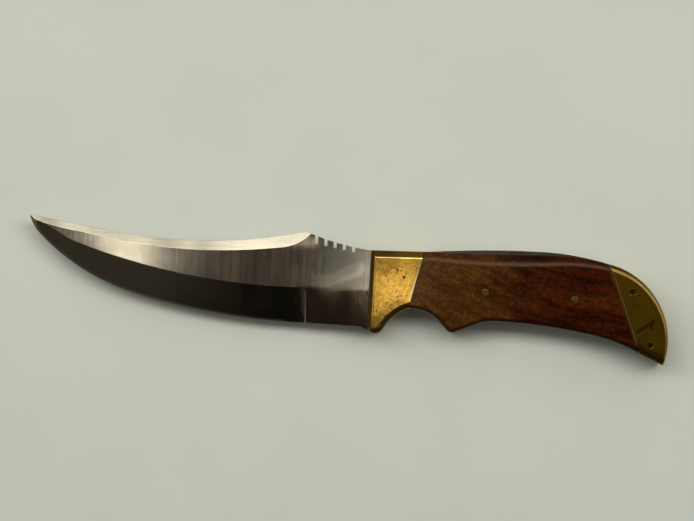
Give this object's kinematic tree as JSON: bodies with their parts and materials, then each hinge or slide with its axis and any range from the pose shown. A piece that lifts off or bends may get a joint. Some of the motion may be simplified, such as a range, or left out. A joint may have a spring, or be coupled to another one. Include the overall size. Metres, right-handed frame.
{
  "type": "fixed-blade hunting knife",
  "caption": "Full-tang fixed-blade knife with an upswept hollow-ground blade, brass bolsters with a half guard, wooden scales and brass butt caps.",
  "frame": {"origin": "under the middle of the knife's outline, on the surface that its right side lies on", "axes": "+X from the tip to the butt along the handle's top line, +Y from the cutting edge to the spine, +Z from the right side to the left side, upward as the knife lies"},
  "size_m": [0.2902, 0.0532, 0.019],
  "materials": {
    "steel": "satin flats with fine lines across the blade, polished hollow grind",
    "bolster_brass": "polished, lightly pitted and tarnished",
    "scale_wood": "oiled hardwood, yellow-brown at the bolster to red-brown at the butt",
    "pommel_brass": "dulled, olive-brown tarnish",
    "pin_brass": "dull, flush-ground"
  },
  "bodies": {
    "root": {"blade": "steel", "bolster_left": "bolster_brass", "bolster_right": "bolster_brass", "scale_left": "scale_wood", "scale_right": "scale_wood", "pommel_left": "pommel_brass", "pommel_right": "pommel_brass", "bolster_pin_upper": "bolster_brass", "bolster_pin_lower": "bolster_brass", "scale_pin_front": "pin_brass", "scale_pin_rear": "pin_brass", "pommel_pin_upper": "pin_brass", "pommel_pin_lower": "pin_brass"}
  },
  "joints": []
}
